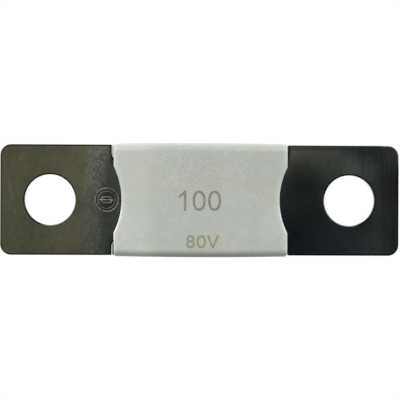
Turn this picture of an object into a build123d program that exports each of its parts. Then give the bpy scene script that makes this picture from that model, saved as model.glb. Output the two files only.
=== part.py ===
from build123d import *

import os

# Bolt down strip fuse: a stamped metal strip with a stud hole in each end, a meandering fuse link
# between the holes, and two equal moulded covers that close round the link.
# The origin is midway between the stud holes on the underside of the terminals, with +X along
# the strip and +Z up. All sizes are in millimetres.

# Stud holes and terminals
stud_spacing = 51.0          # centre to centre
stud_hole_diameter = 8.6     # passes an M8 stud
stud_to_end = 8.45           # hole centre to the end of the strip
terminal_width = 18.8
strip_thickness = 1.5
terminal_corner_radius = 1.85
die_roll = 0.12              # edge that the stamping tool draws down on the upper face
stud_hole_chamfer = 0.12     # on the upper face

# Covers, outside
body_length = 29.3
flank_overhang = 0.11        # of the body's corners past the terminals' long edges
body_side_bow = 0.15         # how far each long side swells at its middle
body_height = 10.0
mould_draft = 0.5            # degrees
long_edge_radius = 1.25
end_edge_chamfer = 0.25
washer_sweep_depth = 1.33    # of the hollow in each end, which clears the washer on the stud
sweep_corner_radius = 0.8    # where that hollow meets the end of the body
parting_chamfer = 0.12
lip_corner_radius = 0.3      # of the lips that fill the strip's side notches

# Covers, inside
flank_wall = 3.11            # from the strip's waist to the outside of the body
side_wall = 1.7              # beside the link chamber
end_wall = 4.0
roof = 1.5
chamber_corner_radius = 1.5
chamber_roof_chamfer = 0.4
seat_clearance = 0.04        # round the waist of the strip in its slot

# Locating pins and sockets, and the tongue and groove of the side walls
pin_diameter = 1.6
pin_engagement = 1.8         # length of the pin in the opposite cover
pin_tip_chamfer = 0.2
pin_from_chamber = 1.7       # pin centre to the chamber's end
pin_from_waist_edge = 1.8    # pin centre to the edge of the strip's waist
pin_socket_clearance = 0.05  # radial, in the opposite cover
pin_strip_clearance = 0.1    # radial, in the strip
pin_tip_gap = 0.3            # from the pin's tip to the bottom of its socket
tongue_width = 0.6
tongue_height = 0.5
tongue_from_end = 4.6        # from the end of the body
tongue_clearance = 0.05

# Strip inside the body
notch_end_gap = 0.4          # from the body's end to the end of the strip's side notch
notch_corner_radius = 1.7
shoulder_reach = 2.6         # how far each shoulder runs into the chamber
link_thickness = 0.8
link_width = 2.2
link_gap = 1.1               # between neighbouring runs of the link
link_root_radius = 0.4       # where the link leaves the shoulders
turn_to_shoulder = 1.5       # from the outside of a turn to the shoulder

# Diffusion pellet, riveted through the middle of the link
pellet_pad_diameter = 3.2
pellet_shank_diameter = 1.4
pellet_head_diameter = 2.2
pellet_head_height = 0.45
pellet_head_bevel = 0.3

# Round stamp in one terminal: a ring groove round a slightly lowered land
stamp_from_body = 1.23       # stamp centre to the end of the body
stamp_diameter = 4.15
stamp_ring_width = 0.32
stamp_ring_depth = 0.12
stamp_land_depth = 0.06

# Places that follow from the sizes above
both_sides = (-1, 1)
stud_x = stud_spacing / 2
strip_length = stud_spacing + 2 * stud_to_end
mid_z = strip_thickness / 2
cover_height = body_height / 2
body_end_width = terminal_width + 2 * flank_overhang
washer_sweep_radius = stud_x - body_length / 2 + washer_sweep_depth
waist_width = body_end_width - 2 * flank_wall
notch_length = body_length + 2 * notch_end_gap
chamber_length = body_length - 2 * end_wall
chamber_width = body_end_width - 2 * side_wall
link_end_x = chamber_length / 2 - shoulder_reach
pin_x = chamber_length / 2 + pin_from_chamber
pin_y = waist_width / 2 - pin_from_waist_edge
tongue_length = body_length - 2 * tongue_from_end
tongue_y = (body_end_width - side_wall) / 2
stamp_x = -(body_length / 2 + stamp_from_body)

small = 0.01                 # for telling apart edges that lie close together
downward = (Align.CENTER, Align.CENTER, Align.MAX)
upward = (Align.CENTER, Align.CENTER, Align.MIN)


def strip_outline(growth=0.0):
    """Outline of the strip with its two side notches, grown by a clearance."""
    outline = RectangleRounded(
        strip_length + 2 * growth, terminal_width + 2 * growth, terminal_corner_radius + growth
    )
    notch_width = terminal_width + 2 * notch_corner_radius
    notch = RectangleRounded(
        notch_length - 2 * growth, notch_width, notch_corner_radius - growth
    )
    for side in both_sides:
        notch_y = side * (waist_width / 2 + growth + notch_width / 2)
        outline -= Pos(0, notch_y) * notch
    return outline


def link_outline():
    """The meander of the link: three parallel runs joined by two half-round turns."""
    pitch = link_width + link_gap
    turn_x = link_end_x - turn_to_shoulder - (pitch + link_width) / 2
    path = Line((-link_end_x, pitch), (turn_x, pitch))
    path += ThreePointArc((turn_x, pitch), (turn_x + pitch / 2, pitch / 2), (turn_x, 0))
    path += Line((turn_x, 0), (-turn_x, 0))
    path += ThreePointArc((-turn_x, 0), (-turn_x - pitch / 2, -pitch / 2), (-turn_x, -pitch))
    path += Line((-turn_x, -pitch), (link_end_x, -pitch))
    outline = trace(path, link_width) + Circle(pellet_pad_diameter / 2)
    for side in both_sides:
        root_x = side * (link_end_x + link_root_radius / 2)
        outline += Pos(root_x, 0) * Rectangle(link_root_radius, waist_width)
    root_corners = outline.vertices().filter_by(
        lambda v: abs(abs(v.X) - link_end_x) < small and abs(v.Y) < waist_width / 2 - small
    )
    return fillet(root_corners, radius=link_root_radius)


def stamped_blank():
    """The strip before its middle is cut away, with drawn-down edges on both terminals."""
    blank = extrude(strip_outline(), amount=strip_thickness)
    upper_edges = blank.faces().sort_by(Axis.Z)[-1].edges()
    terminal_edges = upper_edges.filter_by(lambda e: abs(e.center().X) > notch_length / 2 + small)
    blank = chamfer(terminal_edges, die_roll)
    for side in both_sides:
        blank -= Pos(side * stud_x, 0, mid_z) * Cylinder(stud_hole_diameter / 2, 2 * strip_thickness)
    upper_face = blank.faces().sort_by(Axis.Z)[-1]
    hole_edges = ShapeList(wire.edges()[0] for wire in upper_face.inner_wires())
    blank = chamfer(hole_edges, stud_hole_chamfer)
    pin_hole = Cylinder(pin_diameter / 2 + pin_strip_clearance, 2 * strip_thickness)
    for x_side in both_sides:
        for y_side in both_sides:
            blank -= Pos(x_side * pin_x, y_side * pin_y, mid_z) * pin_hole
    return blank


def stamp_recess():
    """What the round stamp presses out of the terminal: ring groove and lowered land."""
    outer_radius = stamp_diameter / 2
    land = Cylinder(outer_radius, stamp_land_depth, align=downward)
    ring = Cylinder(outer_radius, stamp_ring_depth, align=downward)
    ring -= Cylinder(outer_radius - stamp_ring_width, stamp_ring_depth, align=downward)
    return Pos(stamp_x, 0, strip_thickness) * (land + ring)


def make_fuse_strip():
    """Two terminals and the thinner link between them, stamped from one strip."""
    middle = Box(2 * link_end_x, terminal_width, 2 * strip_thickness)
    link = Pos(0, 0, mid_z - link_thickness / 2) * extrude(link_outline(), amount=link_thickness)
    link -= Pos(0, 0, mid_z) * Cylinder(pellet_shank_diameter / 2, 2 * strip_thickness)
    return stamped_blank() - Pos(0, 0, mid_z) * middle - stamp_recess() + link


def make_tin_pellet():
    """Turned pellet: a shank as long as the link is thick, between two bevelled heads."""
    pellet = Pos(0, 0, mid_z) * Cylinder(pellet_shank_diameter / 2, link_thickness)
    for side in both_sides:
        head = Cylinder(pellet_head_diameter / 2, pellet_head_height, align=upward)
        head = chamfer(head.faces().sort_by(Axis.Z)[-1].edges(), pellet_head_bevel)
        turned = Rot(0 if side > 0 else 180, 0, 0) * head
        pellet += Pos(0, 0, mid_z + side * link_thickness / 2) * turned
    return pellet


def body_outline():
    """Outline of the body at the parting plane: bowed sides, ends cut back round the washers."""
    half_length = body_length / 2
    half_width = body_end_width / 2
    edges = Curve()
    for side in both_sides:
        start = (side * half_length, side * half_width)
        end = (-side * half_length, side * half_width)
        edges += ThreePointArc(start, (0, side * (half_width + body_side_bow)), end)
        edges += Line(end, (-side * half_length, -side * half_width))
    outline = make_face(edges)
    for side in both_sides:
        outline -= Pos(side * stud_x, 0) * Circle(washer_sweep_radius)
    sweep_corners = outline.vertices().filter_by(lambda v: abs(v.Y) < half_width - end_edge_chamfer)
    if sweep_corners:
        outline = fillet(sweep_corners, radius=sweep_corner_radius)
    return outline


def cover_shell():
    """Outside of a cover as a solid block, standing on the parting plane."""
    shell = extrude(body_outline(), amount=cover_height, taper=mould_draft)
    long_edges = shell.faces().sort_by(Axis.Z)[-1].edges().sort_by(Axis.Y)
    shell = fillet([long_edges[0], long_edges[-1]], radius=long_edge_radius)
    flank_y = body_end_width / 2 - long_edge_radius
    rim_z = cover_height - long_edge_radius
    above_parting = shell.edges().filter_by(lambda e: e.center().Z > parting_chamfer)
    end_edges = above_parting.filter_by(
        lambda e: abs(e.center().X) > chamber_length / 2
        and (e.center().Z > rim_z or abs(e.center().Y) > flank_y)
    )
    shell = chamfer(end_edges, end_edge_chamfer)
    return chamfer(shell.faces().sort_by(Axis.Z)[0].edges(), parting_chamfer)


def notch_lips():
    """Low plate whose ends fill the strip's side notches, once the strip's seat is cut from it."""
    length = notch_length - 2 * seat_clearance
    width = body_end_width - 2 * parting_chamfer
    return extrude(RectangleRounded(length, width, lip_corner_radius), amount=mid_z)


def link_chamber():
    """Rounded hollow over the link, from the parting plane up to the roof."""
    height = cover_height - roof
    chamber = extrude(
        RectangleRounded(chamber_length, chamber_width, chamber_corner_radius), amount=height
    )
    return chamfer(chamber.faces().sort_by(Axis.Z)[-1].edges(), chamber_roof_chamfer)


def make_cover():
    """One moulded cover with its parting plane at z = 0 and its roof up.

    Pins and sockets, and tongue and groove, lie so that the same cover turned half a turn about
    the X axis closes on it.
    """
    cover = cover_shell() + notch_lips() - link_chamber()
    cover -= extrude(strip_outline(seat_clearance), amount=mid_z)
    pin = Cylinder(pin_diameter / 2, strip_thickness + pin_engagement, align=downward)
    pin = chamfer(pin.faces().sort_by(Axis.Z)[0].edges(), pin_tip_chamfer)
    socket_depth = pin_engagement + pin_tip_gap
    socket = Cylinder(pin_diameter / 2 + pin_socket_clearance, socket_depth, align=upward)
    for side in both_sides:
        cover -= Pos(side * pin_x, -side * pin_y, mid_z) * socket
        cover += Pos(side * pin_x, side * pin_y, mid_z) * pin
    tongue = Box(tongue_length, tongue_width, tongue_height, align=downward)
    groove = Box(
        tongue_length + 2 * tongue_clearance,
        tongue_width + 2 * tongue_clearance,
        tongue_height + tongue_clearance,
        align=upward,
    )
    cover -= Pos(0, -tongue_y, 0) * groove
    return cover + Pos(0, tongue_y, 0) * tongue


cover = make_cover()
parts = {
    "fuse_strip": make_fuse_strip(),
    "tin_pellet": make_tin_pellet(),
    "upper_cover": Pos(0, 0, mid_z) * cover,
    "lower_cover": Pos(0, 0, mid_z) * Rot(180, 0, 0) * cover,
}

os.makedirs("parts", exist_ok=True)
for name, solid in parts.items():
    export_step(solid, f"parts/{name}.step")
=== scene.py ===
import math

import bmesh
import bpy
import numpy as np
from mathutils import Matrix, Vector


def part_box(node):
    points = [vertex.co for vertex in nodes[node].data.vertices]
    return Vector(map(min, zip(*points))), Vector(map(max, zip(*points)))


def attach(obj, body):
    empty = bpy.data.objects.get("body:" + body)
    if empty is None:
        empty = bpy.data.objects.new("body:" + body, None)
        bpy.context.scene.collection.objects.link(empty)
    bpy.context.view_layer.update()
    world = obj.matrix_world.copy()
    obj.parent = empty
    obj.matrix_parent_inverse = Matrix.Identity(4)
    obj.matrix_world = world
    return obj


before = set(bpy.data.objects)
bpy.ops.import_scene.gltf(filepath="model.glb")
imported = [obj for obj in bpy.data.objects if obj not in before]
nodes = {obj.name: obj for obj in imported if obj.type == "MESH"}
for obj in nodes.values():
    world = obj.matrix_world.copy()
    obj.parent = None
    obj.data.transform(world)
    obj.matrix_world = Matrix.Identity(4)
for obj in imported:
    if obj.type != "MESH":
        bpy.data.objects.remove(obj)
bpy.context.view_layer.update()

# Bolt down strip fuse, seen from above on a white table: finishes, burnt rating, terminal stamp.
# Lengths are in millimetres and become metres where they enter Blender.

perMetre = 1000.0
bodyName = "root"

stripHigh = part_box("fuse_strip")[1] * perMetre
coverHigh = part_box("upper_cover")[1] * perMetre
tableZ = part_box("lower_cover")[0].z * perMetre
coverEnd = 14.65             # of the covers without the lips in the strip's notches
studX = 25.5                 # of the stud holes' centres, left and right
hollowRadius = 12.18         # of the hollow in each end of the covers, round the stud hole
stampX = -15.88              # of the round stamp's centre on the left terminal
middle = (-1.0, 1.0)         # over which one half of the object gives way to the other
tiny = 0.01                  # keeps a distance that divides from being 0
white = (1.0, 1.0, 1.0)
print("frame loaded:", ", ".join(sorted(nodes)))


# Shader sums

class Wire:  # one output socket, so that a sum on it adds its Math nodes
    def __init__(self, sheet, socket):
        self.sheet = sheet
        self.socket = socket

    def sum(self, operation, first, second):
        return self.sheet.node("ShaderNodeMath", {"operation": operation}, {0: first, 1: second})

    def __add__(self, other):
        return self.sum("ADD", self, other)

    def __radd__(self, other):
        return self.sum("ADD", other, self)

    def __sub__(self, other):
        return self.sum("SUBTRACT", self, other)

    def __rsub__(self, other):
        return self.sum("SUBTRACT", other, self)

    def __mul__(self, other):
        return self.sum("MULTIPLY", self, other)

    def __rmul__(self, other):
        return self.sum("MULTIPLY", other, self)

    def __pow__(self, other):
        return self.sum("POWER", self, other)

    def __abs__(self):
        return self.sum("ABSOLUTE", self, 0.0)

    # how far a noise is from its middle, times a depth
    def swing(self, depth):
        return depth * (self - 0.5)


class Sheet:  # the node tree of one material or of the world
    def __init__(self, owner):
        owner.use_nodes = True
        self.tree = owner.node_tree
        self.tree.nodes.clear()

    # any node: its type, then its settings, then the values or links of its sockets
    def node(self, kind, settings=None, values=None, output=0):
        made = self.tree.nodes.new(kind)
        for name, value in (settings or {}).items():
            setattr(made, name, value)
        for name, value in (values or {}).items():
            if isinstance(value, Wire):
                self.tree.links.new(value.socket, made.inputs[name])
            else:
                made.inputs[name].default_value = value
        return Wire(self, made.outputs[output]) if made.outputs else made

    def larger(self, first, second):
        return self.node("ShaderNodeMath", {"operation": "MAXIMUM"}, {0: first, 1: second})

    def smaller(self, first, second):
        return self.node("ShaderNodeMath", {"operation": "MINIMUM"}, {0: first, 1: second})

    # 0 below low and 1 above high, with a smooth step between
    def step(self, value, low, high):
        return self.node(
            "ShaderNodeMapRange",
            {"interpolation_type": "SMOOTHSTEP"},
            {"Value": value, "From Min": low, "From Max": high},
        )

    # 1 inside the band from low to high, falling to 0 over the fade outside it
    def band(self, value, low, high, fade):
        return self.step(value, low - fade, low) * (1 - self.step(value, high, high + fade))

    # the point on the object in millimetres, stretched by so many copies a millimetre
    def place(self, stretch=(1.0, 1.0, 1.0), shift=(0.0, 0.0, 0.0)):
        coordinates = self.node("ShaderNodeTexCoord", output="Object")
        scale = tuple(perMetre * s for s in stretch)
        return self.node(
            "ShaderNodeMapping", {}, {"Vector": coordinates, "Scale": scale, "Location": shift}
        )

    def axes(self, vector):
        split = self.node("ShaderNodeSeparateXYZ", {}, {"Vector": vector})
        outputs = split.socket.node.outputs
        return tuple(Wire(self, outputs[name]) for name in "XYZ")

    # noise from about 0 to 1: its cells to the millimetre along each axis, its detail and its shift
    def noise(self, stretch, detail, shift=(0.0, 0.0, 0.0)):
        return self.node(
            "ShaderNodeTexNoise",
            {},
            {"Vector": self.place(stretch, shift), "Scale": 1.0, "Detail": detail},
        )

    # a colour that passes from the first to the second as the factor goes from 0 to 1
    def mix(self, factor, first, second):
        made = self.tree.nodes.new("ShaderNodeMix")
        made.data_type = "RGBA"
        for name, value in (("Factor_Float", factor), ("A_Color", first), ("B_Color", second)):
            socket = next(s for s in made.inputs if s.identifier == name)
            if isinstance(value, Wire):
                self.tree.links.new(value.socket, socket)
            else:
                socket.default_value = value if name == "Factor_Float" else (*value, 1.0)
        return Wire(self, next(s for s in made.outputs if s.identifier == "Result_Color"))

    # a colour times another, which tints it
    def tint(self, colour, other):
        return self.node(
            "ShaderNodeVectorMath", {"operation": "MULTIPLY"}, {0: colour, 1: other}
        )

    # a colour tinted where the mask is 1 and left as it is where the mask is 0
    def tintWhere(self, mask, colour, other):
        return self.tint(colour, self.mix(mask, white, other))

    # a colour made lighter or darker by a factor
    def shade(self, colour, factor):
        grey = self.node("ShaderNodeCombineXYZ", {}, {"X": factor, "Y": factor, "Z": factor})
        return self.tint(colour, grey)

    # a surface that rises by the distance where the height is 1
    def bump(self, height, strength, distance):
        return self.node(
            "ShaderNodeBump",
            {},
            {"Strength": strength, "Distance": distance / perMetre, "Height": height},
        )

    def finish(self, values):
        shader = self.node("ShaderNodeBsdfPrincipled", {}, values)
        self.node("ShaderNodeOutputMaterial", {}, {"Surface": shader})


def newSheet(name):
    material = bpy.data.materials.new(name)
    return material, Sheet(material)


# 1 in the core of a spot and 0 outside its reach: the distance from the spot's centre, stepped from
# the core's share of the reach to the whole reach
def spotMask(sheet, x, y, spot, core):
    fromX = x - spot[0]
    fromY = y - spot[1]
    return 1 - sheet.step((fromX * fromX + fromY * fromY) ** 0.5, spot[2] * core, spot[2])


# Plated metal of the strip

platedStripLook = {
    "colour": (0.446, 0.425, 0.373),
    "greenColour": (0.424, 0.435, 0.366),
    "hueStep": (0.40, 0.60),
    "shadeTint": (0.62, 0.69, 0.90),        # painted shade towards the body, on the left from these places on
    "shadeBand": (-20.6, -16.4),
    "reflectionTints": (             # and painted reflection tints on the right: centre, reach and tint
        ((19.0, -3.5, 11.0), (0.745, 0.845, 1.03)),
        ((31.0, 12.0, 12.0), (0.93, 1.01, 1.14)),
    ),
    "reflectionTintCore": 0.55,          # how much of a spot's reach has the whole effect, here and below
    # each noise: its cells to the millimetre along the three axes, its detail and its shift
    "hueNoise": ((0.22, 0.16, 0.2), 3.0, (3.0, 7.0, 2.0)),
    "grainNoise": ((3.4, 1.2, 1.0), 3.0),
    "blotchNoise": ((0.28, 0.18, 0.22), 3.0),
    "mottleNoise": ((1.3, 1.0, 1.0), 3.0, (4.0, 1.0, 8.0)),
    "fleckNoise": ((4.8, 2.4, 1.0), 4.0, (7.0, 3.0, 1.0)),
    "lineNoise": ((3.0, 0.10, 0.5), 2.0, (2.0, 9.0, 4.0)),
    "shearNoise": ((5.0, 5.0, 0.5), 2.0, (6.0, 2.0, 0.0)),
    "grainDepth": 0.34,
    "blotchDepth": 0.40,
    "mottleDepth": 0.42,
    "lineDepth": 0.60,
    "lineBand": (27.0, 33.0, 1.5),         # of the rolled lines: from, to and fade along the strip
    "roughness": 0.15,
    "blotchRoughness": 0.05,
    "rubbedRoughness": 0.06,
    "bumpStrength": 0.08,
    "bumpDistance": 0.02,
    "fleckHeight": 0.5,
    "cornerRadius": 1.85,
    "notchEndX": 15.05,
    "notchRadius": 1.7,
    "waistY": 6.4,
    "studHoleRadius": 4.3,
    # painted shade: the dark colour of the rims
    "rimShadeColour": (0.010, 0.012, 0.011),
    "edgeFade": (0.10, 0.36),              # inside the outline
    "rimHighlights": (              # painted highlights where the rim isn't dark: from, to and fade both ways, and its colour
        ((-40.0, -33.4, 0.5), (-9.0, 20.0, 1.0), (0.10, 0.10, 0.08)),
        ((15.0, 30.0, 1.0), (9.0, 20.0, 0.2), (0.10, 0.11, 0.10)),
        ((32.0, 40.0, 2.0), (8.0, 20.0, 3.0), (0.42, 0.43, 0.42)),
    ),
    "wallColour": (0.30, 0.29, 0.25),      # of the sheared outer walls
    "wallBand": (0.14, 1.36, 0.02),        # from, to and fade upwards
    "wallFromHole": (4.36, 4.42),          # beyond the stud hole's own wall
    "wallTone": 0.55,
    "shearDepth": 0.9,
    "paintedGlintColour": (0.28, 0.28, 0.27),      # painted glint on each hole's rim, low down on the side of the body
    "paintedGlintReach": (4.40, 4.52),
    "glintTurn": (-1.5, -0.95, 0.5),        # from, to and fade round the hole
    "contactShadeDepth": 0.6,       # painted shade: how much darker the strip is where it goes into the body
    "contactShadeReach": (0.35, 1.0),           # in the hollow and outside it
    "contactShadeAcross": (5.0, 7.0),
    "rubbedColour": (0.80, 0.82, 0.84),
    "rubbedBand": (-19.1, -17.7, 1.9),     # from, to and fade along the strip
    "rubbedBend": 0.012,
    "rubbedBendY": -2.0,
    "rubbedPlain": 0.25,       # how rubbed the band is between its flecks
    "rubbedFlecks": (0.42, 0.62),
    "rubbedLower": 0.55,       # and how much its lower half keeps of that
    "rubbedUpper": (-3.0, 4.0),
    "scratchEnds": ((-33.2, 6.0), (-31.35, -2.1)),
    "scratchWidth": 0.13,
    "scratchFade": 0.6,
    "scratchShare": 0.45,
    "smudge": (-30.3, 6.9, 0.9),           # centre and reach
    "smudgeCore": 0.1,
    "smudgeFlecks": (0.42, 0.60),
    "smudgeShare": 0.35,
    "scuff": (30.5, 7.6, 4.2),             # centre and reach
    "scuffCore": 0.2,
    "scuffFlecks": (0.50, 0.64),
    "scuffShare": 0.40,
    "stamp": (stampX, 0.0, 2.30),          # centre and reach
    "stampCore": 0.90,
    "stampShade": 0.38,        # how much darker the plating is inside the stamp
    "paintedReflectionPatches": (                # painted reflection: darker places, and lighter ones below 0: centre, reach and depth
        ((-22.5, -6.5, 7.0), -0.28),
        ((-21.3, 4.0, 5.0), -0.26),
        ((-19.5, 9.2, 4.0), -0.37),
        ((17.0, -1.5, 9.0), 0.46),
        ((14.5, -8.0, 7.0), 0.45),
        ((17.6, 3.8, 4.7), 0.40),
        ((16.0, 10.0, 4.5), -0.30),
        ((32.0, 6.0, 7.0), 0.38),
        ((28.5, 9.8, 5.0), 0.50),
        ((27.5, 5.0, 4.5), -0.60),
        ((34.0, 1.5, 5.0), 0.40),
        ((28.9, -8.5, 5.0), -0.58),
    ),
    "paintedReflectionCore": 0.2,
    # a dark line inside the right terminal's far edge: from, to and fade along it, from and to
    # across, and depth
    "edgeShadeAlong": (14.0, 22.0, 6.0),
    "edgeShadeAcross": (8.3, 8.8),
    "edgeShade": 0.33,
}


# Distance inside the strip's outline and outside its notches and stud holes: a rounded rectangle's
# distance is the length of what sticks out past its corner centres, less the corner radius.
def stripEdgeDistance(sheet, x, y, studDistance, look):
    halfLength = stripHigh.x - look["cornerRadius"]
    halfWidth = stripHigh.y - look["cornerRadius"]
    outX = abs(x) - halfLength
    outY = abs(y) - halfWidth
    farX = sheet.larger(outX, 0.0)
    farY = sheet.larger(outY, 0.0)
    corner = (farX * farX + farY * farY) ** 0.5
    inside = look["cornerRadius"] - (corner + sheet.smaller(sheet.larger(outX, outY), 0.0))
    notchX = sheet.larger(abs(x) - (look["notchEndX"] - look["notchRadius"]), 0.0)
    notchY = sheet.larger(look["waistY"] + look["notchRadius"] - abs(y), 0.0)
    fromNotch = (notchX * notchX + notchY * notchY) ** 0.5 - look["notchRadius"]
    return sheet.smaller(sheet.smaller(inside, fromNotch), studDistance - look["studHoleRadius"])


# 1 on the straight scratch and 0 off it: the distance to its line, cut off at its two ends
def scratchMask(sheet, x, y, look):
    start, end = look["scratchEnds"]
    length = math.dist(start, end)
    ahead = ((end[0] - start[0]) / length, (end[1] - start[1]) / length)
    along = (x - start[0]) * ahead[0] + (y - start[1]) * ahead[1]
    across = abs((x - start[0]) * ahead[1] - (y - start[1]) * ahead[0])
    between = sheet.band(along, 0.0, length, look["scratchFade"])
    return (1 - sheet.step(across, 0.0, look["scratchWidth"])) * between


# How rubbed the plating is in a band across the left terminal. The band's places are moved by
# bend · (y - bendY)², flecks break it up, and its lower half is weaker.
def rubbedMask(sheet, x, y, flecks, look):
    fromBend = y - look["rubbedBendY"]
    bentX = x - look["rubbedBend"] * fromBend * fromBend
    plain = look["rubbedPlain"]
    lower = look["rubbedLower"]
    broken = plain + (1 - plain) * sheet.step(flecks, *look["rubbedFlecks"])
    rubbed = sheet.band(bentX, *look["rubbedBand"]) * broken
    return rubbed * (lower + (1 - lower) * sheet.step(y, *look["rubbedUpper"]))


# The strongest of the rubbed band, the smudge near one corner and the scuff near another
def wornMask(sheet, x, y, flecks, rubbed, look):
    smudge = spotMask(sheet, x, y, look["smudge"], look["smudgeCore"])
    smudge = smudge * sheet.step(flecks, *look["smudgeFlecks"])
    scuff = spotMask(sheet, x, y, look["scuff"], look["scuffCore"])
    scuff = scuff * sheet.step(flecks, *look["scuffFlecks"])
    marks = sheet.larger(look["smudgeShare"] * smudge, look["scuffShare"] * scuff)
    return sheet.larger(rubbed, marks)


# The plating's colour: warmer and greener places, and cooler ones near the body and in the far
# corner, which are painted shade and painted reflection
def platingColour(sheet, x, y, look):
    hue = sheet.step(sheet.noise(*look["hueNoise"]), *look["hueStep"])
    colour = sheet.mix(hue, look["colour"], look["greenColour"])
    # painted shade: a cool, darker tint towards the body on the left
    shadeNearBody = sheet.step(x, *look["shadeBand"]) * (1 - sheet.step(x, *middle))
    colour = sheet.tintWhere(shadeNearBody, colour, look["shadeTint"])
    # painted reflection: cool tints round places on the right
    for spot, spotTint in look["reflectionTints"]:
        mask = spotMask(sheet, x, y, spot, look["reflectionTintCore"])
        colour = sheet.tintWhere(mask, colour, spotTint)
    return colour


# The plating's tone: 1 plus the swings of the noises, times a factor for the painted shade where the
# strip goes into the body, each painted reflection patch, the shaded edge and the stamp
def platingTone(sheet, x, y, studDistance, grain, blotches, look):
    mottle = sheet.noise(*look["mottleNoise"])
    rolled = sheet.noise(*look["lineNoise"]).swing(look["lineDepth"])
    tone = 1 + grain.swing(look["grainDepth"]) + blotches.swing(look["blotchDepth"])
    tone = tone + mottle.swing(look["mottleDepth"]) + sheet.band(x, *look["lineBand"]) * rolled
    # painted shade where the strip goes into the body
    fromBody = sheet.larger(hollowRadius - studDistance, abs(x) - coverEnd)
    near, far = look["contactShadeReach"]
    contactShadeReach = near + (far - near) * sheet.step(abs(y), *look["contactShadeAcross"])
    contactShade = 1 - sheet.step(fromBody, 0.0, contactShadeReach)
    tone = tone * (1 - look["contactShadeDepth"] * contactShade)
    # painted reflection: darker and lighter patches
    for spot, depth in look["paintedReflectionPatches"]:
        tone = tone * (1 - depth * spotMask(sheet, x, y, spot, look["paintedReflectionCore"]))
    edgeShade = sheet.band(x, *look["edgeShadeAlong"]) * sheet.step(y, *look["edgeShadeAcross"])
    tone = tone * (1 - look["edgeShade"] * edgeShade)
    stamp = spotMask(sheet, x, y, look["stamp"], look["stampCore"])
    return tone * (1 - look["stampShade"] * stamp)


# The rim's colour: painted dark shade, but for the painted highlights on pale stretches, the painted
# glint and the sheared outer walls
def rimColour(sheet, x, y, z, studDistance, paintedGlint, look):
    rim = look["rimShadeColour"]
    # painted highlights where the painted dark rim gives way to lighter stretches
    for alongBand, acrossBand, paleColour in look["rimHighlights"]:
        rim = sheet.mix(sheet.band(x, *alongBand) * sheet.band(y, *acrossBand), rim, paleColour)
    # painted glint low down on each hole's side towards the body
    rim = sheet.mix(paintedGlint, rim, look["paintedGlintColour"])
    wall = sheet.band(z, *look["wallBand"]) * sheet.step(studDistance, *look["wallFromHole"])
    wallTone = look["wallTone"] + look["shearDepth"] * sheet.noise(*look["shearNoise"])
    return sheet.mix(wall, rim, sheet.shade(look["wallColour"], wallTone))


def makePlatedStrip(look):
    material, sheet = newSheet("plated_strip_finish")
    x, y, z = sheet.axes(sheet.place())
    fromStudX = abs(x) - studX
    studDistance = (fromStudX * fromStudX + y * y) ** 0.5
    grain = sheet.noise(*look["grainNoise"])
    blotches = sheet.noise(*look["blotchNoise"])
    flecks = sheet.noise(*look["fleckNoise"])
    rubbed = rubbedMask(sheet, x, y, flecks, look)
    worn = wornMask(sheet, x, y, flecks, rubbed, look)
    scratch = look["scratchShare"] * scratchMask(sheet, x, y, look)
    colour = platingColour(sheet, x, y, look)
    colour = sheet.mix(worn, colour, look["rubbedColour"])
    colour = sheet.mix(scratch, colour, look["rubbedColour"])
    tone = platingTone(sheet, x, y, studDistance, grain, blotches, look)
    # (x + y) / distance from the hole's centre is least low down on the side of the body
    glintTurn = (fromStudX + y) * (studDistance + tiny) ** -1.0
    # painted glint: a lighter, less metallic rim low down on each hole's side towards the body
    paintedGlint = sheet.band(glintTurn, *look["glintTurn"])
    paintedGlint = paintedGlint * (1 - sheet.step(studDistance, *look["paintedGlintReach"]))
    edgeDistance = stripEdgeDistance(sheet, x, y, studDistance, look)
    # where the painted dark rim shade lies, inside the outline
    edge = 1 - sheet.step(edgeDistance, *look["edgeFade"])
    rim = rimColour(sheet, x, y, z, studDistance, paintedGlint, look)
    roughness = look["roughness"] + blotches.swing(look["blotchRoughness"])
    height = grain + look["fleckHeight"] * flecks
    sheet.finish({
        "Base Color": sheet.mix(edge, sheet.shade(colour, tone), rim),
        "Metallic": 1 - paintedGlint,
        "Roughness": roughness + look["rubbedRoughness"] * rubbed,
        "Normal": sheet.bump(height, look["bumpStrength"], look["bumpDistance"]),
    })
    return material


# Tin of the pellet

tinLook = {
    "colour": (0.66, 0.66, 0.63),
    "dullColour": (0.46, 0.46, 0.44),
    "frostNoise": ((2.5, 2.5, 2.5), 4.0),
    "frostStep": (0.35, 0.7),
    "roughness": 0.42,
    "frostRoughness": 0.15,
    "bumpStrength": 0.2,
    "bumpDistance": 0.02,
}


def makeTin(look):
    material, sheet = newSheet("tin_finish")
    frost = sheet.noise(*look["frostNoise"])
    frosted = sheet.step(frost, *look["frostStep"])
    sheet.finish({
        "Base Color": sheet.mix(frosted, look["colour"], look["dullColour"]),
        "Metallic": 1.0,
        "Roughness": look["roughness"] + frost.swing(look["frostRoughness"]),
        "Normal": sheet.bump(frost, look["bumpStrength"], look["bumpDistance"]),
    })
    return material


# Moulded plastic of the covers

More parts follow.
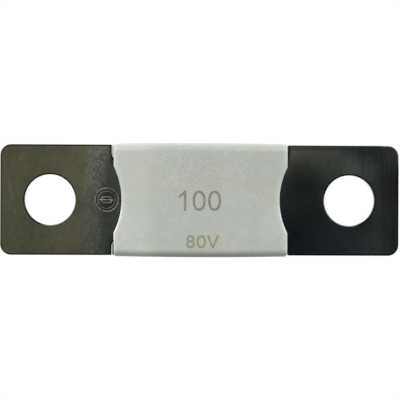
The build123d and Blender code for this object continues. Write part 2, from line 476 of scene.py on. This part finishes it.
coverPlasticLook = {
    "warmColour": (0.510, 0.518, 0.489),
    "coolColour": (0.485, 0.518, 0.489),
    "yellowTint": (1.0, 1.0, 0.952),
    "hueStep": (0.38, 0.62),
    "haloes": (                # round the burnt marks: from, to and fade both ways, and the tint
        ((-3.6, 3.2, 1.5), (-1.4, 1.5, 1.5), (0.985, 0.980, 0.940)),
        ((-1.7, 2.2, 1.4), (-7.5, -6.5, 1.4), (0.950, 0.950, 0.870)),
    ),
    "haloAbove": (5.0, 5.5),
    # each noise: its cells to the millimetre along the three axes, its detail and its shift
    "hueNoise": ((0.17, 0.17, 0.17), 3.0, (9.0, 2.0, 5.0)),
    "yellowNoise": ((0.14, 0.14, 0.14), 3.0, (1.0, 6.0, 3.0)),
    "speckleNoise": ((4.6, 4.6, 4.6), 2.0),
    "sparkNoise": ((8.0, 8.0, 8.0), 2.0, (3.0, 5.0, 2.0)),
    "mottleNoise": ((0.5, 0.5, 0.5), 3.0),
    "speckleDepth": 0.60,
    "specklePlain": 0.60,      # how much of that is left away from the place that is speckled most
    "speckleAlong": (-4.0, 6.0, 6.0),
    "speckleAcross": (-1.0, 3.0),
    "mottleDepth": 0.14,
    "roughness": 0.55,
    "sparkRoughness": 0.12,
    "bumpStrength": 0.18,
    "bumpDistance": 0.03,
    "speckleHeight": 0.6,
    "paleEnd": 0.085,          # how much lighter the cover is at its left end
    "paleReach": (-10.5, -6.5),
    "rim": 0.16,               # painted highlight along the edges of both ends
    "rimHighlightReach": (0.15, 1.1),
    "bevelHighlight": (0.20, 0.38),  # painted highlight on their bevel, at the upper left and elsewhere
    "bevelHighlightReach": (0.20, 0.35),
    "bevelHighlightAcross": (-3.0, 0.0),
    "shadedEdges": (           # of the roof: side, from, to and depth
        (-1, 9.0, 9.6, 0.30),
        (1, 8.5, 8.9, 0.17),
        (1, 9.1, 9.4, -0.06),
    ),
    "shadedAbove": (3.0, 4.0),
    "patches": (               # where the roof is a little darker or lighter: centre, reach, depth
        ((0.5, 4.6, 5.5), 0.055),
        ((10.0, 5.0, 6.0), 0.045),
        ((-12.8, -4.2, 5.0), -0.055),
        ((13.0, -4.0, 4.0), -0.07),
        ((-9.5, -11.5, 5.5), -0.11),
    ),
    "patchCore": 0.3,          # how much of a patch's reach has the whole effect
    # painted shade on the lips in the strip's notches, at the upper left, the lower left and the
    # right
    "lipShade": (0.72, 0.95, 0.10),
    "lipFade": 0.04,
    "lipGapShadow": 0.80,           # depth of the painted shadow line in the gap along the lower left lip
    "lipGapShadowBand": (-14.84, -14.56, 0.06),
    "lipGapShadowAcross": (-6.8, -6.6),
}


# Distance inside the ends of the covers, which are flat but for a hollow centred on the stud hole
def coverEndDistance(sheet, x, y):
    fromStudX = abs(x) - studX
    hollow = (fromStudX * fromStudX + y * y) ** 0.5 - hollowRadius
    return sheet.smaller(hollow, coverEnd - abs(x))


# The plastic's tone: 1 plus the swings of the noises, the lighter left end and the painted highlights
# on the ends' edges and bevel, times a factor for each patch and shaded edge
def plasticTone(sheet, x, y, z, speckle, look):
    plain = look["specklePlain"]
    speckled = sheet.band(x, *look["speckleAlong"]) * sheet.step(y, *look["speckleAcross"])
    share = plain + (1 - plain) * speckled
    mottle = sheet.noise(*look["mottleNoise"])
    tone = 1 + share * speckle.swing(look["speckleDepth"]) + mottle.swing(look["mottleDepth"])
    tone = tone + look["paleEnd"] * (1 - sheet.step(x, *look["paleReach"]))
    endDistance = coverEndDistance(sheet, x, y)
    # painted highlight along the edges of both ends
    tone = tone + look["rim"] * (1 - sheet.step(endDistance, *look["rimHighlightReach"]))
    # painted highlight on the ends' bevel
    upperLeft = (1 - sheet.step(x, *middle)) * sheet.step(y, *look["bevelHighlightAcross"])
    dimLine, brightLine = look["bevelHighlight"]
    bevelHighlight = brightLine + (dimLine - brightLine) * upperLeft
    tone = tone + bevelHighlight * (1 - sheet.step(endDistance, *look["bevelHighlightReach"]))
    for spot, depth in look["patches"]:
        tone = tone * (1 - depth * spotMask(sheet, x, y, spot, look["patchCore"]))
    onRoof = sheet.step(z, *look["shadedAbove"])
    for side, start, end, depth in look["shadedEdges"]:
        tone = tone * (1 - depth * sheet.step(side * y, start, end) * onRoof)
    return tone


# The factor for the painted shade on the lips in the strip's notches, and for the painted shadow
# along the gap by one of them
def lipShadeFactor(sheet, x, y, look):
    upperLip, lowerLip, rightLip = look["lipShade"]
    lip = sheet.step(abs(x), coverEnd, coverEnd + look["lipFade"])
    # painted shade on the lips
    lipShade = lowerLip + (upperLip - lowerLip) * sheet.step(y, *middle)
    lipShade = lipShade + (rightLip - lipShade) * sheet.step(x, *middle)
    # painted shadow along the gap by the lower left lip
    gapShadow = sheet.band(x, *look["lipGapShadowBand"]) * (1 - sheet.step(y, *look["lipGapShadowAcross"]))
    return (1 - lip * (1 - lipShade)) * (1 - look["lipGapShadow"] * gapShadow)


# The plastic's colour: cooler, warmer and yellower places, and a halo round each line of marks
def plasticColour(sheet, x, y, z, look):
    hue = sheet.step(sheet.noise(*look["hueNoise"]), *look["hueStep"])
    yellow = sheet.step(sheet.noise(*look["yellowNoise"]), *look["hueStep"])
    colour = sheet.mix(hue, look["coolColour"], look["warmColour"])
    colour = sheet.tintWhere(yellow, colour, look["yellowTint"])
    onRoof = sheet.step(z, *look["haloAbove"])
    for alongBand, acrossBand, haloTint in look["haloes"]:
        halo = sheet.band(x, *alongBand) * sheet.band(y, *acrossBand) * onRoof
        colour = sheet.tintWhere(halo, colour, haloTint)
    return colour


def makeCoverPlastic(look):
    material, sheet = newSheet("cover_plastic_finish")
    x, y, z = sheet.axes(sheet.place())
    speckle = sheet.noise(*look["speckleNoise"])
    spark = sheet.noise(*look["sparkNoise"])
    tone = plasticTone(sheet, x, y, z, speckle, look) * lipShadeFactor(sheet, x, y, look)
    height = spark + look["speckleHeight"] * speckle
    sheet.finish({
        "Base Color": sheet.shade(plasticColour(sheet, x, y, z, look), tone),
        "Roughness": look["roughness"] + spark.swing(look["sparkRoughness"]),
        "Normal": sheet.bump(height, look["bumpStrength"], look["bumpDistance"]),
    })
    return material


# Marks burnt into the upper cover

markLook = {
    "colour": (0.225, 0.235, 0.176),
    "paleColour": (0.31, 0.325, 0.255),
    "paleNoise": ((2.2, 2.2, 2.2), 3.0),
    "paleStep": (0.4, 0.75),
    "faintColour": (0.34, 0.35, 0.285),
    "faintBelow": (-5.5, -4.5),            # across the cover, where the smaller line of marks begins
    "faintShare": 0.6,
    "roughness": 0.6,
    "paleRoughness": 0.1,
}


def makeMark(look):
    material, sheet = newSheet("burnt_mark_finish")
    y = sheet.axes(sheet.place())[1]
    pale = sheet.noise(*look["paleNoise"])
    colour = sheet.mix(sheet.step(pale, *look["paleStep"]), look["colour"], look["paleColour"])
    faint = look["faintShare"] * (1 - sheet.step(y, *look["faintBelow"]))
    sheet.finish({
        "Base Color": sheet.mix(faint, colour, look["faintColour"]),
        "Roughness": look["roughness"] + pale.swing(look["paleRoughness"]),
    })
    return material


# Metal that the stamp has pushed up, a little brighter than the strip round it

stampLook = {
    "colour": (0.86, 0.88, 0.80),
    "dullColour": (0.42, 0.44, 0.39),
    "wearNoise": ((3.0, 3.0, 3.0), 3.0),
    "wearStep": (0.35, 0.65),
    "roughness": 0.30,
    "wearRoughness": 0.12,
}


def makeStampMetal(look):
    material, sheet = newSheet("stamped_metal_finish")
    wear = sheet.noise(*look["wearNoise"])
    worn = sheet.step(wear, *look["wearStep"])
    sheet.finish({
        "Base Color": sheet.mix(worn, look["dullColour"], look["colour"]),
        "Metallic": 1.0,
        "Roughness": look["roughness"] + wear.swing(look["wearRoughness"]),
    })
    return material


# Meshes from grids

def addObject(name, data):
    made = bpy.data.objects.new(name, data)
    bpy.context.scene.collection.objects.link(made)
    return made


# One mesh from several closed skins. Each skin is rows of points, the rows close on themselves, and
# the skin either closes from its last row to its first or is capped at both.
def addPiece(name, skins, material, smooth=False):
    vertices = []
    faces = []
    first = 0
    for points, closed in skins:
        count, around = points.shape[:2]
        rows = np.arange(count if closed else count - 1)
        columns = np.arange(around)
        row, column = np.meshgrid(rows, columns, indexing="ij")
        nextRow = (row + 1) % count
        nextColumn = (column + 1) % around
        corners = np.stack([
            row * around + column,
            nextRow * around + column,
            nextRow * around + nextColumn,
            row * around + nextColumn,
        ], axis=-1)
        faces += (corners.reshape(-1, 4) + first).tolist()
        if not closed:
            faces.append((first + columns[::-1]).tolist())
            faces.append((first + (count - 1) * around + columns).tolist())
        vertices.append(points.reshape(-1, 3))
        first += count * around
    mesh = bpy.data.meshes.new(name)
    mesh.from_pydata(np.concatenate(vertices) / perMetre, [], faces)
    mesh.polygons.foreach_set("use_smooth", [smooth] * len(mesh.polygons))
    shape = bmesh.new()
    shape.from_mesh(mesh)
    bmesh.ops.recalc_face_normals(shape, faces=shape.faces)
    shape.to_mesh(mesh)
    shape.free()
    piece = addObject(name, mesh)
    mesh.materials.append(material)
    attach(piece, bodyName)


# Rating marks, as flat strokes on the roof of the upper cover

ratingLook = {
    "thickness": 0.012,
    "sunk": 0.004,             # how deep a stroke's underside lies in the roof
    "layer": 0.002,            # by which a stroke that crosses another stands higher
    "amps": {"height": 3.38, "middleY": -0.09, "stroke": 0.40},
    "ampsOneX": -2.60,
    "ampsOneFlag": 0.84,
    "ampsOneDrop": 0.86,
    "ampsOneBend": (0.1, 0.24),            # left of the stem and below its top
    "ampsOneRoot": (0.05, 0.5),            # inside the stem's right edge and below its top
    "ampsOneDepth": 1.15,      # of the flag, in strokes
    "ampsZeroX": (-0.253, 2.341),
    "ampsZeroWidth": 2.16,
    "volts": {"height": 2.16, "middleY": -6.98, "stroke": 0.34},
    "voltsEightX": -1.70,
    "voltsEightWidth": 1.45,
    "voltsEightUpper": (0.9, 0.48),        # the upper loop's share of the width and of the height
    "voltsZeroX": 0.127,
    "voltsZeroWidth": 1.55,
    "voltsUnitX": 2.078,
    "voltsUnitWidth": 2.05,
    "voltsUnitLevel": 1.07,    # a slanting stroke's width measured level, in strokes
    "roundness": 2.25,
    "curvePoints": 72,
}


# A stroke lies between two edge lines and is as thick as the mark: each row of the skin is the first
# edge's low and high point, then the second edge's high and low point.
def strokeSkin(firstEdge, secondEdge, closed, look, layer=0):
    low = coverHigh.z - look["sunk"]
    high = low + look["thickness"] + layer * look["layer"]
    rows = np.zeros((len(firstEdge), 4, 3))
    rows[:, 0:2, 0:2] = np.asarray(firstEdge)[:, None]
    rows[:, 2:4, 0:2] = np.asarray(secondEdge)[:, None]
    rows[:, :, 2] = (low, high, high, low)
    return rows, closed


# Points of a circle of radius 1
def circlePoints(count):
    turn = np.linspace(0, 2 * math.pi, count, endpoint=False)
    return np.stack([np.cos(turn), np.sin(turn)], axis=1)


# Superellipse of half size 1: x = sgn(cos t)·|cos t|^(2/n), y = sgn(sin t)·|sin t|^(2/n)
def squaredCircle(count, roundness):
    circle = circlePoints(count)
    return np.sign(circle) * np.abs(circle) ** (2 / roundness)


# A closed stroke: the band between an oval and the same oval made smaller by the stroke all round
def ovalStroke(x, y, width, height, stroke, look, layer=0):
    oval = squaredCircle(look["curvePoints"], look["roundness"])
    outer, inner = (
        np.array([x, y]) + oval * (width / 2 - inset, height / 2 - inset)
        for inset in (0.0, stroke)
    )
    return strokeSkin(outer, inner, True, look, layer)


# Top and foot of a line of marks
def lineEnds(line):
    return line["middleY"] + line["height"] / 2, line["middleY"] - line["height"] / 2


# A one, which is an upright bar with a bent flag, and two zeros
def makeAmpsMarks(look, material):
    amps = look["amps"]
    top, foot = lineEnds(amps)
    left = look["ampsOneX"] - amps["stroke"] / 2
    right = look["ampsOneX"] + amps["stroke"] / 2
    stem = strokeSkin([(left, foot), (left, top)], [(right, foot), (right, top)], False, look)
    bendIn, bendDrop = look["ampsOneBend"]
    rootIn, rootDrop = look["ampsOneRoot"]
    depth = look["ampsOneDepth"] * amps["stroke"]
    upperEdge = [
        (left - look["ampsOneFlag"], top - look["ampsOneDrop"]),
        (left - bendIn, top - bendDrop),
        (right - rootIn, top),
    ]
    drops = (depth, depth, rootDrop)
    lowerEdge = [(x, y - drop) for (x, y), drop in zip(upperEdge, drops)]
    flag = strokeSkin(upperEdge, lowerEdge, False, look, 1)
    zeros = [
        ovalStroke(x, amps["middleY"], look["ampsZeroWidth"], amps["height"], amps["stroke"], look)
        for x in look["ampsZeroX"]
    ]
    addPiece("rating_amps", [stem, flag, *zeros], material)


# An eight of two loops that share a stroke, a zero, and the unit's two slanting strokes
def makeVoltsMarks(look, material):
    volts = look["volts"]
    stroke = volts["stroke"]
    top, foot = lineEnds(volts)
    eightX = look["voltsEightX"]
    eightWidth = look["voltsEightWidth"]
    widthShare, heightShare = look["voltsEightUpper"]
    upperHeight = (volts["height"] + stroke) * heightShare
    lowerHeight = volts["height"] + stroke - upperHeight
    upperY = top - upperHeight / 2
    lowerY = foot + lowerHeight / 2
    upper = ovalStroke(eightX, upperY, eightWidth * widthShare, upperHeight, stroke, look)
    lower = ovalStroke(eightX, lowerY, eightWidth, lowerHeight, stroke, look, 1)
    zero = ovalStroke(
        look["voltsZeroX"], volts["middleY"], look["voltsZeroWidth"], volts["height"], stroke, look
    )
    unitX = look["voltsUnitX"]
    halfUnit = look["voltsUnitWidth"] / 2
    level = stroke * look["voltsUnitLevel"]
    unit = []
    for side in (-1, 1):
        outer = [(unitX + side * halfUnit, top), (unitX + side * level / 2, foot)]
        inner = [(unitX + side * (halfUnit - level), top), (unitX - side * level / 2, foot)]
        unit.append(strokeSkin(outer, inner, False, look, side))
    addPiece("rating_volts", [upper, lower, zero, *unit], material)


# Round stamp on the left terminal: two beads round a plain fuse symbol

terminalStampLook = {
    "x": stampX,
    "y": 0.0,
    "beads": ((1.97, 0.17, 0.04), (1.47, 0.09, 0.03)),     # radius, width and height of each
    "sunk": 0.02,              # how deep a bead's foot lies in the metal
    "landDepth": 0.06,         # of the floor on which the inner bead and the symbol stand
    "symbolLength": 1.65,
    "symbolWidth": 0.95,
    "symbolReach": 2.45,
    "symbolStroke": 0.18,
    "symbolHeight": 0.07,
    "rodHeight": 0.065,
    "cornerPower": 5.0,
    "circlePoints": 96,
    "rodPoints": 9,
    "backPoints": 9,
}


# A bar with a half-round back carried along a path: sideways = w/2·cos s, height = h·sin s
def beadSkin(path, width, height, foot, closed, look):
    path = np.asarray(path, float)
    if closed:
        ahead = np.roll(path, -1, axis=0) - np.roll(path, 1, axis=0)
    else:
        ahead = np.gradient(path, axis=0)
    ahead /= np.linalg.norm(ahead, axis=1)[:, None]
    side = np.stack([-ahead[:, 1], ahead[:, 0]], axis=1)
    turn = np.linspace(0, math.pi, look["backPoints"])
    sideways = width / 2 * np.cos(turn)
    rows = np.zeros((len(path), len(turn), 3))
    rows[:, :, 0:2] = path[:, None] + side[:, None] * sideways[None, :, None]
    rows[:, :, 2] = foot + height * np.sin(turn)
    return rows, closed


# Two round beads, a squared ring for the fuse's case and a straight bar for its wire
def makeTerminalStamp(look, material):
    centre = np.array([look["x"], look["y"]])
    circle = circlePoints(look["circlePoints"])
    sunk = look["sunk"]
    land = stripHigh.z - look["landDepth"]
    skins = [
        beadSkin(centre + radius * circle, width, height + sunk, foot - sunk, True, look)
        for (radius, width, height), foot in zip(look["beads"], (stripHigh.z, land))
    ]
    box = squaredCircle(look["circlePoints"], look["cornerPower"])
    box *= (look["symbolLength"] / 2, look["symbolWidth"] / 2)
    stroke = look["symbolStroke"]
    skins.append(beadSkin(centre + box, stroke, look["symbolHeight"], land, True, look))
    rod = np.linspace(-look["symbolReach"] / 2, look["symbolReach"] / 2, look["rodPoints"])
    rod = centre + np.stack([rod, np.zeros(len(rod))], axis=1)
    skins.append(beadSkin(rod, stroke, look["rodHeight"], land, False, look))
    addPiece("terminal_stamp", skins, material, smooth=True)


# Table, camera and light

tableLook = {
    "halfSize": 3000.0,
    "colour": (0.02, 0.02, 0.02),
    "roughness": 0.9,
    "glow": 1.0,
    "drop": 0.01,
}


# A flat square that glows white, just under the object
def makeTable(look):
    half = look["halfSize"]
    z = tableZ - look["drop"]
    corners = np.array([(-half, -half, z), (half, -half, z), (half, half, z), (-half, half, z)])
    mesh = bpy.data.meshes.new("white_table")
    mesh.from_pydata(corners / perMetre, [], [(0, 1, 2, 3)])
    table = addObject("white_table", mesh)
    material, sheet = newSheet("white_table_finish")
    sheet.finish({
        "Base Color": (*look["colour"], 1.0),
        "Roughness": look["roughness"],
        "Specular IOR Level": 0.0,
        "Emission Color": (*white, 1.0),
        "Emission Strength": look["glow"],
    })
    mesh.materials.append(material)


cameraLook = {
    "place": (-8.0, 0.0, 301.5),
    "aim": (0.006, 0.024, 1.5),
    "frameWidth": 68.125,      # of the table's slice that the picture shows at the aim
    "roll": 0.215,             # degrees
    "sensorWidth": 36.0,
    "clip": (10.0, 10000.0),   # nearest and farthest that it sees
}


# The camera looks from its place at the aim, with its upright turned by the roll: right = up × back
def makeCamera(look):
    place = Vector(look["place"])
    aim = Vector(look["aim"])
    back = (place - aim).normalized()
    roll = math.radians(look["roll"])
    up = Vector((-math.sin(roll), math.cos(roll), 0))
    right = up.cross(back).normalized()
    up = back.cross(right)
    data = bpy.data.cameras.new("camera")
    data.sensor_width = look["sensorWidth"]
    data.lens = look["sensorWidth"] * (place - aim).length / look["frameWidth"]
    data.clip_start, data.clip_end = (distance / perMetre for distance in look["clip"])
    camera = addObject("camera", data)
    turned = Matrix((right, up, back)).transposed().to_4x4()
    camera.matrix_world = Matrix.Translation(place / perMetre) @ turned
    bpy.context.scene.camera = camera


# A light tent: white walls behind and at both sides, a dim front, and overhead the dark room that
# the terminals mirror
tentLook = {
    "wall": 1.0,
    "front": 0.30,
    "wallTurn": (-0.50, 0.32),             # across the object, where the front gives way to the walls
    "wallFade": (0.62, 0.80),              # sine of the elevation over which the walls fade
    "leftColour": (0.180, 0.179, 0.130),
    "rightColour": (0.174, 0.183, 0.160),
    "rightFrom": (-12.0, 12.0),
    "darkColour": (0.000, 0.011, 0.026),
    "farColour": (0.011, 0.018, 0.022),
    "farFrom": (22.0, 30.0),
    "roomFade": (-8.0, 25.0),
    "roomSlant": 2.2,
    "lowest": 0.2,             # least height of a direction, so that the room doesn't spread for ever
}


# The room is set out by the point of the strip that mirrors it to the camera: for a direction
# (x, y, z) that point is camera height · (x, y) / z past the camera's place.
def makeTent(look, camera):
    world = bpy.data.worlds.new("light_tent")
    bpy.context.scene.world = world
    sheet = Sheet(world)
    x, y, z = sheet.axes(sheet.node("ShaderNodeTexCoord", output="Generated"))
    wall = look["front"] + (look["wall"] - look["front"]) * sheet.step(y, *look["wallTurn"])
    spread = camera["place"][2] * sheet.larger(z, look["lowest"]) ** -1.0
    alongStrip = x * spread + camera["place"][0]
    acrossStrip = y * spread + camera["place"][1]
    slanted = alongStrip - look["roomSlant"] * acrossStrip
    onRight = sheet.step(alongStrip, *look["rightFrom"])
    farOff = sheet.step(alongStrip, *look["farFrom"])
    light = sheet.mix(onRight, look["leftColour"], look["rightColour"])
    dark = sheet.mix(farOff, look["darkColour"], look["farColour"])
    room = sheet.mix(sheet.step(slanted, *look["roomFade"]), light, dark)
    glow = sheet.mix(sheet.step(z, *look["wallFade"]), sheet.shade(white, wall), room)
    background = sheet.node("ShaderNodeBackground", {}, {"Color": glow, "Strength": 1.0})
    sheet.node("ShaderNodeOutputWorld", {}, {"Surface": background})


# A large softbox behind the object and above it, which glossy surfaces don't mirror
softboxLook = {"place": (-60.0, 430.0, 430.0), "size": (500.0, 300.0), "power": 3.38}


def makeSoftbox(look):
    light = bpy.data.lights.new("softbox", "AREA")
    light.shape = "RECTANGLE"
    light.size, light.size_y = (length / perMetre for length in look["size"])
    light.energy = look["power"]
    softbox = addObject("softbox", light)
    place = Vector(look["place"]) / perMetre
    turned = place.to_track_quat("Z", "Y").to_matrix().to_4x4()
    softbox.matrix_world = Matrix.Translation(place) @ turned
    softbox.visible_glossy = False


def paintNode(name, material):
    for slot in nodes[name].material_slots:
        slot.material = material


makeCamera(cameraLook)
makeTable(tableLook)
makeTent(tentLook, cameraLook)
makeSoftbox(softboxLook)
bpy.context.scene.view_settings.view_transform = "Standard"
print("table, camera and light are set")

coverPlastic = makeCoverPlastic(coverPlasticLook)
paintNode("fuse_strip", makePlatedStrip(platedStripLook))
paintNode("tin_pellet", makeTin(tinLook))
paintNode("upper_cover", coverPlastic)
paintNode("lower_cover", coverPlastic)
print("finishes are on the four moulded and stamped pieces")

burntMark = makeMark(markLook)
makeAmpsMarks(ratingLook, burntMark)
makeVoltsMarks(ratingLook, burntMark)
makeTerminalStamp(terminalStampLook, makeStampMetal(stampLook))
print("rating marks and terminal stamp are in place")
